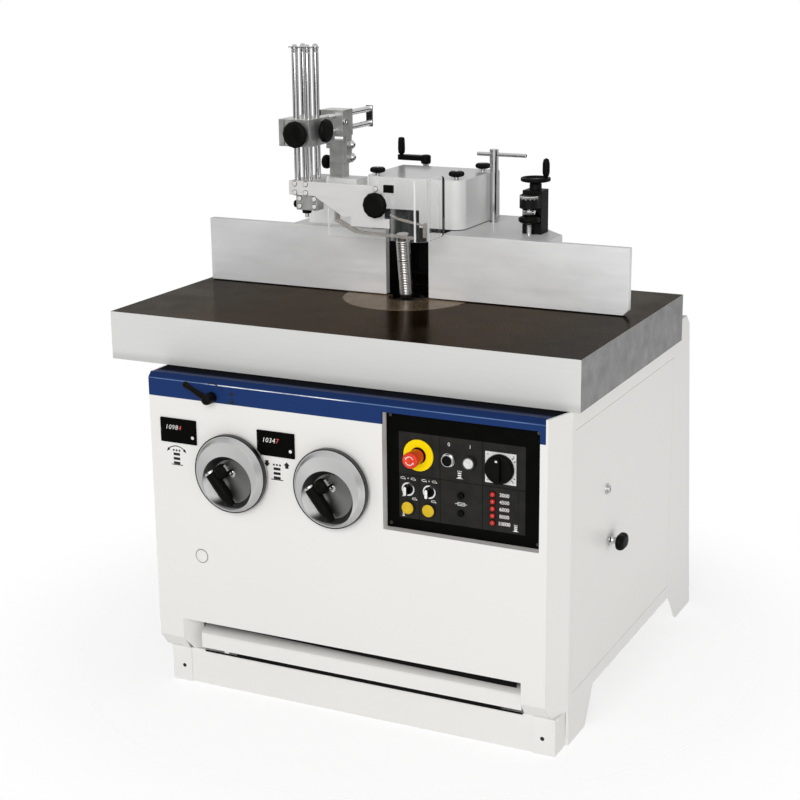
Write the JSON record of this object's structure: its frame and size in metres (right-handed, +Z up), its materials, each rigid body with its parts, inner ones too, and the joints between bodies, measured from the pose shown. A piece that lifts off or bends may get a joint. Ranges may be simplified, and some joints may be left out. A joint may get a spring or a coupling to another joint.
{
  "type": "spindle moulder",
  "caption": "Floor-standing spindle moulder with a cast table, tilting and rising spindle, fence hood, overhead guard with clear shield, front handwheels and a sunk control panel.",
  "frame": {"origin": "bottom centre of the bounding box, on the floor", "axes": "+Z up, +X to the operator's right, -Y towards the operator, who stands at the handwheels"},
  "size_m": [1.22, 1.067, 1.517],
  "materials": {
    "white_paint": "satin",
    "blue_paint": "satin",
    "table_iron": "ground",
    "insert_steel": "ground",
    "mechanism_iron": "cast",
    "motor_paint": "satin",
    "belt_rubber": "matte",
    "spindle_steel": "ground",
    "bezel_black": "gloss",
    "plate_dark": "satin",
    "red_plastic": "gloss",
    "white_plastic": "gloss",
    "yellow_plastic": "gloss",
    "wheel_metal": "satin",
    "black_plastic": "satin",
    "cast_aluminium": "cast",
    "fence_aluminium": "satin",
    "chrome_rod": "polished",
    "plate_steel": "brushed",
    "clear_sheet": "clear"
  },
  "bodies": {
    "cabinet": {"base_frame": "white_paint", "front_panel": "white_paint", "top_band": "blue_paint", "left_panel": "white_paint", "right_panel": "white_paint", "rear_panel": "white_paint", "table": "table_iron", "table_insert": "insert_steel", "trunnion_guides": "mechanism_iron", "control_bezel": "bezel_black", "control_plate": "plate_dark", "fuse_caps": "bezel_black", "position_counters": "bezel_black"},
    "door": {"side_door": "white_paint"},
    "door_handle": {"door_knob": "black_plastic"},
    "tilt_unit": {"tilt_carriage": "mechanism_iron"},
    "quill": {"quill_slide": "mechanism_iron", "motor": "motor_paint", "drive_belt": "belt_rubber"},
    "rotor": {"motor_rotor": "motor_paint"},
    "spindle": {"spindle_shaft": "spindle_steel", "spacer_rings": "spindle_steel"},
    "tilt_wheel": {"tilt_handwheel": "wheel_metal"},
    "tilt_wheel_handle": {"tilt_handle": "black_plastic"},
    "height_wheel": {"height_handwheel": "wheel_metal"},
    "height_wheel_handle": {"height_handle": "black_plastic"},
    "lever": {"lock_lever": "black_plastic"},
    "estop": {"estop_button": "red_plastic"},
    "stop": {"stop_button": "bezel_black"},
    "start": {"start_button": "white_plastic"},
    "selector_left": {"left_selector": "bezel_black"},
    "selector_right": {"right_selector": "bezel_black"},
    "jog_left": {"left_jog_button": "yellow_plastic"},
    "jog_right": {"right_jog_button": "yellow_plastic"},
    "mains": {"main_switch": "bezel_black"},
    "hood": {"hood_base": "cast_aluminium", "hood_cover": "cast_aluminium", "hood_knobs": "black_plastic", "adjuster_bracket": "cast_aluminium", "guard_post": "cast_aluminium"},
    "screw": {"clamp_screw": "chrome_rod"},
    "bar": {"tommy_bar": "chrome_rod"},
    "crank": {"hood_crank": "black_plastic"},
    "outfeed": {"left_fence": "fence_aluminium"},
    "infeed": {"infeed_carrier": "fence_aluminium"},
    "infeed_fence": {"right_fence": "fence_aluminium"},
    "dial": {"adjuster_wheel": "black_plastic"},
    "dial_lock": {"adjuster_lock": "black_plastic"},
    "swing_head": {"guard_head": "cast_aluminium"},
    "guard_arm": {"cross_rods": "chrome_rod", "clamp_block": "cast_aluminium"},
    "guard": {"column_rods": "chrome_rod", "guard_foot": "cast_aluminium", "guard_plate": "plate_steel", "guard_shield": "clear_sheet", "pressure_shoe": "plate_steel"},
    "knob_block": {"block_knob": "black_plastic"},
    "knob_plate": {"plate_knob": "black_plastic"},
    "knob_side": {"side_knob": "black_plastic"},
    "knob_post": {"post_knob": "black_plastic"}
  },
  "joints": [
    {"name": "door_hinge", "type": "hinge", "parent": "cabinet", "child": "door", "pos_m": [0.5675, 0.3145, 0.12], "axis": [0, 0, 1], "range_deg": [0, 110]},
    {"name": "door_knob_turn", "type": "hinge", "parent": "door", "child": "door_handle", "pos_m": [0.57, -0.1435, 0.405], "axis": [1, 0, 0], "range_deg": [0, 90]},
    {"name": "spindle_tilt", "type": "hinge", "parent": "cabinet", "child": "tilt_unit", "pos_m": [-0.027, 0.0155, 0.9], "axis": [1, 0, 0], "range_deg": [-53.5, 37.5]},
    {"name": "spindle_lift", "type": "slide", "parent": "tilt_unit", "child": "quill", "axis": [0, -0.1392, 0.9903], "range_m": [-0.15, 0.01]},
    {"name": "rotor_spin", "type": "hinge", "parent": "quill", "child": "rotor", "pos_m": [0.168, 0.0155, 0.9], "axis": [0, -0.1392, 0.9903], "continuous": true},
    {"name": "spindle_spin", "type": "hinge", "parent": "quill", "child": "spindle", "pos_m": [-0.027, 0.0155, 0.9], "axis": [0, -0.1392, 0.9903], "continuous": true},
    {"name": "tilt_wheel_turn", "type": "hinge", "parent": "cabinet", "child": "tilt_wheel", "pos_m": [-0.231, -0.4915, 0.5665], "axis": [0, 1, 0], "range_deg": [-1071, 751]},
    {"name": "tilt_wheel_handle_fold", "type": "hinge", "parent": "tilt_wheel", "child": "tilt_wheel_handle", "pos_m": [-0.266, -0.5185, 0.5585], "axis": [-0.788, 0, -0.6157], "range_deg": [0, 90]},
    {"name": "height_wheel_turn", "type": "hinge", "parent": "cabinet", "child": "height_wheel", "pos_m": [0.0315, -0.4915, 0.5665], "axis": [0, 1, 0], "range_deg": [-1351, 91]},
    {"name": "height_wheel_handle_fold", "type": "hinge", "parent": "height_wheel", "child": "height_wheel_handle", "pos_m": [-0.0035, -0.5185, 0.5585], "axis": [-0.788, 0, -0.6157], "range_deg": [0, 90]},
    {"name": "lever_turn", "type": "hinge", "parent": "cabinet", "child": "lever", "pos_m": [-0.282, -0.4915, 0.741], "axis": [0, 1, 0], "range_deg": [-30, 30]},
    {"name": "estop_press", "type": "slide", "parent": "cabinet", "child": "estop", "axis": [0, 1, 0], "range_m": [0, 0.004]},
    {"name": "stop_press", "type": "slide", "parent": "cabinet", "child": "stop", "axis": [0, 1, 0], "range_m": [0, 0.004], "stiffness_N_per_m": 400},
    {"name": "start_press", "type": "slide", "parent": "cabinet", "child": "start", "axis": [0, 1, 0], "range_m": [0, 0.004], "stiffness_N_per_m": 400},
    {"name": "jog_left_press", "type": "slide", "parent": "cabinet", "child": "jog_left", "axis": [0, 1, 0], "range_m": [0, 0.004], "stiffness_N_per_m": 400},
    {"name": "jog_right_press", "type": "slide", "parent": "cabinet", "child": "jog_right", "axis": [0, 1, 0], "range_m": [0, 0.004], "stiffness_N_per_m": 400},
    {"name": "selector_left_turn", "type": "hinge", "parent": "cabinet", "child": "selector_left", "pos_m": [0.2091, -0.4695, 0.5795], "axis": [0, 1, 0], "range_deg": [-45, 45]},
    {"name": "selector_right_turn", "type": "hinge", "parent": "cabinet", "child": "selector_right", "pos_m": [0.2608, -0.4695, 0.5795], "axis": [0, 1, 0], "range_deg": [-45, 45]},
    {"name": "mains_turn", "type": "hinge", "parent": "cabinet", "child": "mains", "pos_m": [0.43001, -0.4695, 0.656], "axis": [0, 1, 0], "range_deg": [0, 90]},
    {"name": "hood_slide", "type": "slide", "parent": "cabinet", "child": "hood", "axis": [0, 1, 0], "range_m": [-0.06, 0.04]},
    {"name": "crank_turn", "type": "hinge", "parent": "hood", "child": "crank", "pos_m": [-0.156, 0.4035, 0.9], "axis": [0, 0, 1], "range_deg": [-541, 361]},
    {"name": "screw_turn", "type": "hinge", "parent": "hood", "child": "screw", "pos_m": [0.095, 0.2765, 0.9], "axis": [0, 0, 1], "range_deg": [-90, 90]},
    {"name": "bar_slide", "type": "slide", "parent": "screw", "child": "bar", "axis": [1, 0, 0], "range_m": [-0.06, 0.025]},
    {"name": "outfeed_slide", "type": "slide", "parent": "hood", "child": "outfeed", "axis": [1, 0, 0], "range_m": [-0.06, 0.025]},
    {"name": "infeed_slide", "type": "slide", "parent": "hood", "child": "infeed", "axis": [0, 1, 0], "range_m": [-0.012, 0]},
    {"name": "infeed_fence_slide", "type": "slide", "parent": "infeed", "child": "infeed_fence", "axis": [1, 0, 0], "range_m": [-0.025, 0.04]},
    {"name": "dial_turn", "type": "hinge", "parent": "hood", "child": "dial", "pos_m": [0.251, 0.1695, 0.9], "axis": [0, 0, 1], "range_deg": [-361, 1]},
    {"name": "dial_lock_turn", "type": "hinge", "parent": "hood", "child": "dial_lock", "pos_m": [0.251, 0.1295, 0.9], "axis": [0, 0, 1], "range_deg": [-90, 90]},
    {"name": "head_swing", "type": "hinge", "parent": "hood", "child": "swing_head", "pos_m": [-0.26, 0.114, 1.256], "axis": [1, 0, 0], "range_deg": [-60, 0]},
    {"name": "arm_slide", "type": "slide", "parent": "swing_head", "child": "guard_arm", "axis": [0, 1, 0], "range_m": [-0.1, 0.01]},
    {"name": "guard_lift", "type": "slide", "parent": "guard_arm", "child": "guard", "axis": [0, 0, 1], "range_m": [-0.1, 0.075]},
    {"name": "knob_block_turn", "type": "hinge", "parent": "guard_arm", "child": "knob_block", "pos_m": [-0.251, -0.1135, 1.306], "axis": [0, 1, 0], "range_deg": [-180, 180]},
    {"name": "knob_plate_turn", "type": "hinge", "parent": "guard", "child": "knob_plate", "pos_m": [-0.037, -0.1175, 1.149], "axis": [0, 1, 0], "range_deg": [-180, 180]},
    {"name": "knob_side_turn", "type": "hinge", "parent": "guard_arm", "child": "knob_side", "pos_m": [-0.222, -0.0585, 1.31], "axis": [1, 0, 0], "range_deg": [-180, 180]},
    {"name": "knob_post_turn", "type": "hinge", "parent": "hood", "child": "knob_post", "pos_m": [-0.282, 0.114, 1.21], "axis": [1, 0, 0], "range_deg": [-180, 180]}
  ],
  "couplings": [
    {"joint": "spindle_spin", "follows": "rotor_spin", "ratio": 1.45},
    {"joint": "tilt_wheel_turn", "follows": "spindle_tilt", "ratio": 20},
    {"joint": "height_wheel_turn", "follows": "spindle_lift", "rad_per_m": 157.08},
    {"joint": "crank_turn", "follows": "hood_slide", "rad_per_m": 157.08},
    {"joint": "dial_turn", "follows": "infeed_slide", "rad_per_m": 523.6}
  ]
}
